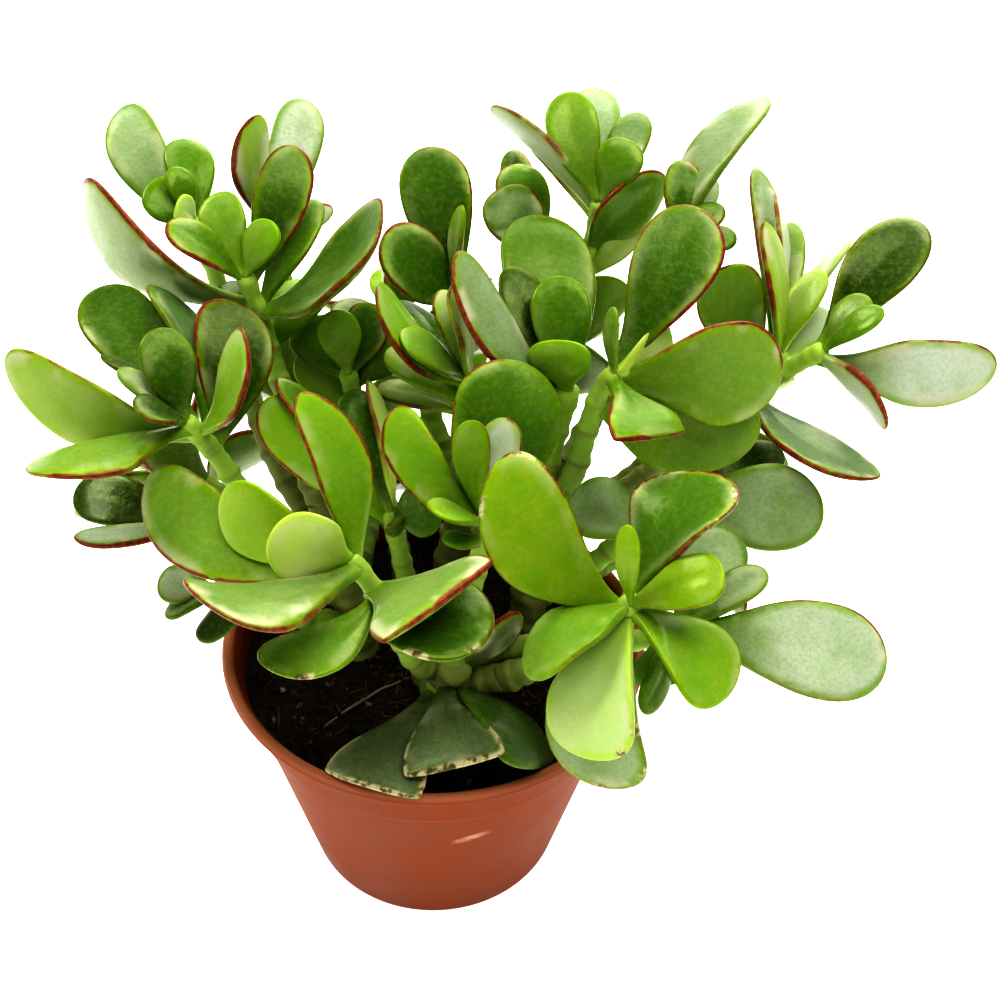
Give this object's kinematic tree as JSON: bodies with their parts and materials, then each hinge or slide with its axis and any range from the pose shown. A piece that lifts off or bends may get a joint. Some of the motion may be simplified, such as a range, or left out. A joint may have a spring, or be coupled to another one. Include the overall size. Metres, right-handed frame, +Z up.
{
  "type": "potted jade plant",
  "caption": "Jade plant with branching woody stems and fleshy oval red-edged leaves, growing in soil in a round tapered plastic nursery pot.",
  "frame": {"origin": "centre of the flat underside of the pot", "axes": "+Z up along the pot's axis, -Y toward the side that faces the viewer in the picture, +X to the viewer's right"},
  "size_m": [0.293, 0.2161, 0.2438],
  "materials": {
    "pot_plastic": "thin terracotta-coloured nursery plastic, satin, lightly dusty and scuffed",
    "potting_soil": "dark moist peat with fibres and crumbs",
    "stem_bark": "grey-green corky young bark with rings of old leaf scars",
    "leaf": "fleshy waxy leaf, satin sheen, thin red or brown-red margin"
  },
  "bodies": {
    "root": {"pot": "pot_plastic", "shoot_back": "leaf", "shoot_back_left": "leaf", "shoot_back_left_rear": "leaf", "shoot_back_left_tall": "leaf", "shoot_back_right": "leaf", "shoot_back_right_low": "leaf", "shoot_centre": "leaf", "shoot_far_right": "leaf", "shoot_front_left": "leaf", "shoot_front_right": "leaf", "shoot_inner_back": "leaf", "shoot_inner_left": "leaf", "shoot_left": "leaf", "shoot_left_low": "leaf", "shoot_left_under": "leaf", "shoot_mid": "leaf", "shoot_mid_back": "leaf", "shoot_rear_centre": "leaf", "shoot_rear_far_right": "leaf", "shoot_rear_left": "leaf", "shoot_rear_left_low": "leaf", "shoot_rear_low": "leaf", "shoot_rear_right": "leaf", "shoot_rear_right_side": "leaf", "shoot_rear_side": "leaf", "shoot_right_back": "leaf", "shoot_right_fork": "leaf", "shoot_right_low": "leaf", "shoot_right_mid": "leaf", "shoot_right_under": "leaf", "soil": "potting_soil", "trunk_back": "stem_bark", "trunk_front": "stem_bark", "trunk_left": "stem_bark", "trunk_right": "stem_bark"}
  },
  "joints": []
}
